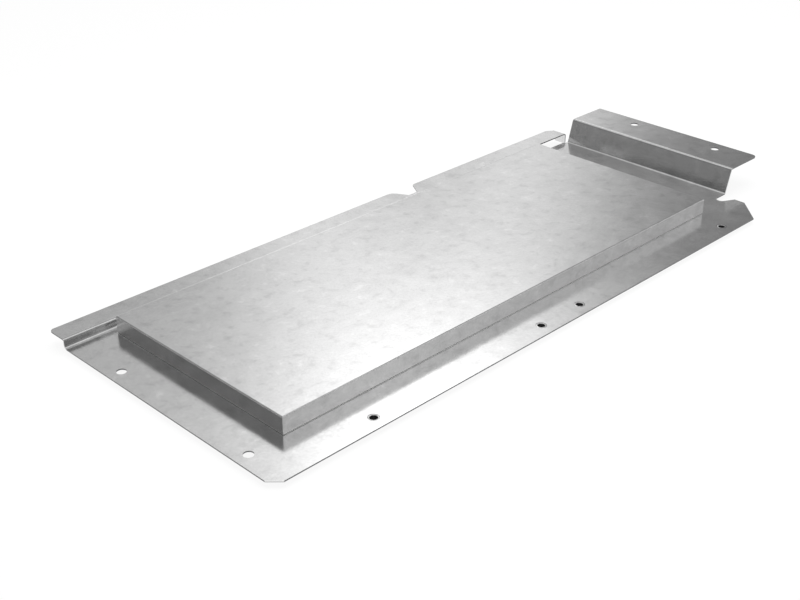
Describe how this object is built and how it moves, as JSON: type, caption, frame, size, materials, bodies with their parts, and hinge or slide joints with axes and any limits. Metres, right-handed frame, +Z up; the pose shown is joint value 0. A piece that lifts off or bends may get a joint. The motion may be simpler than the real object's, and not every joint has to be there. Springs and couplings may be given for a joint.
{
  "type": "engine noise suppression panel",
  "caption": "Flat folded sheet metal panel with a shallow closed box on it, a stepped rear edge, a raised side bracket, screw holes and clinch nuts; it screens engine noise.",
  "frame": {"origin": "under the middle of the whole panel, level with the underside of the clinch nuts", "axes": "+X along the panel's long side towards the raised bracket, +Y towards the stepped rear edge, +Z up out of the face that carries the box"},
  "size_m": [0.8864, 0.3574, 0.0388],
  "materials": {
    "galvanised_sheet": "satin galvanised steel sheet",
    "galvanised_cover": "satin galvanised steel sheet",
    "absorber_felt": "dark needled felt",
    "zinc_plated_nut": "zinc plated steel"
  },
  "bodies": {
    "root": {"base_panel": "galvanised_sheet", "box_cover": "galvanised_cover", "absorber_pad": "absorber_felt", "clinch_nut_1": "zinc_plated_nut", "clinch_nut_2": "zinc_plated_nut", "clinch_nut_3": "zinc_plated_nut", "clinch_nut_4": "zinc_plated_nut"}
  },
  "joints": []
}
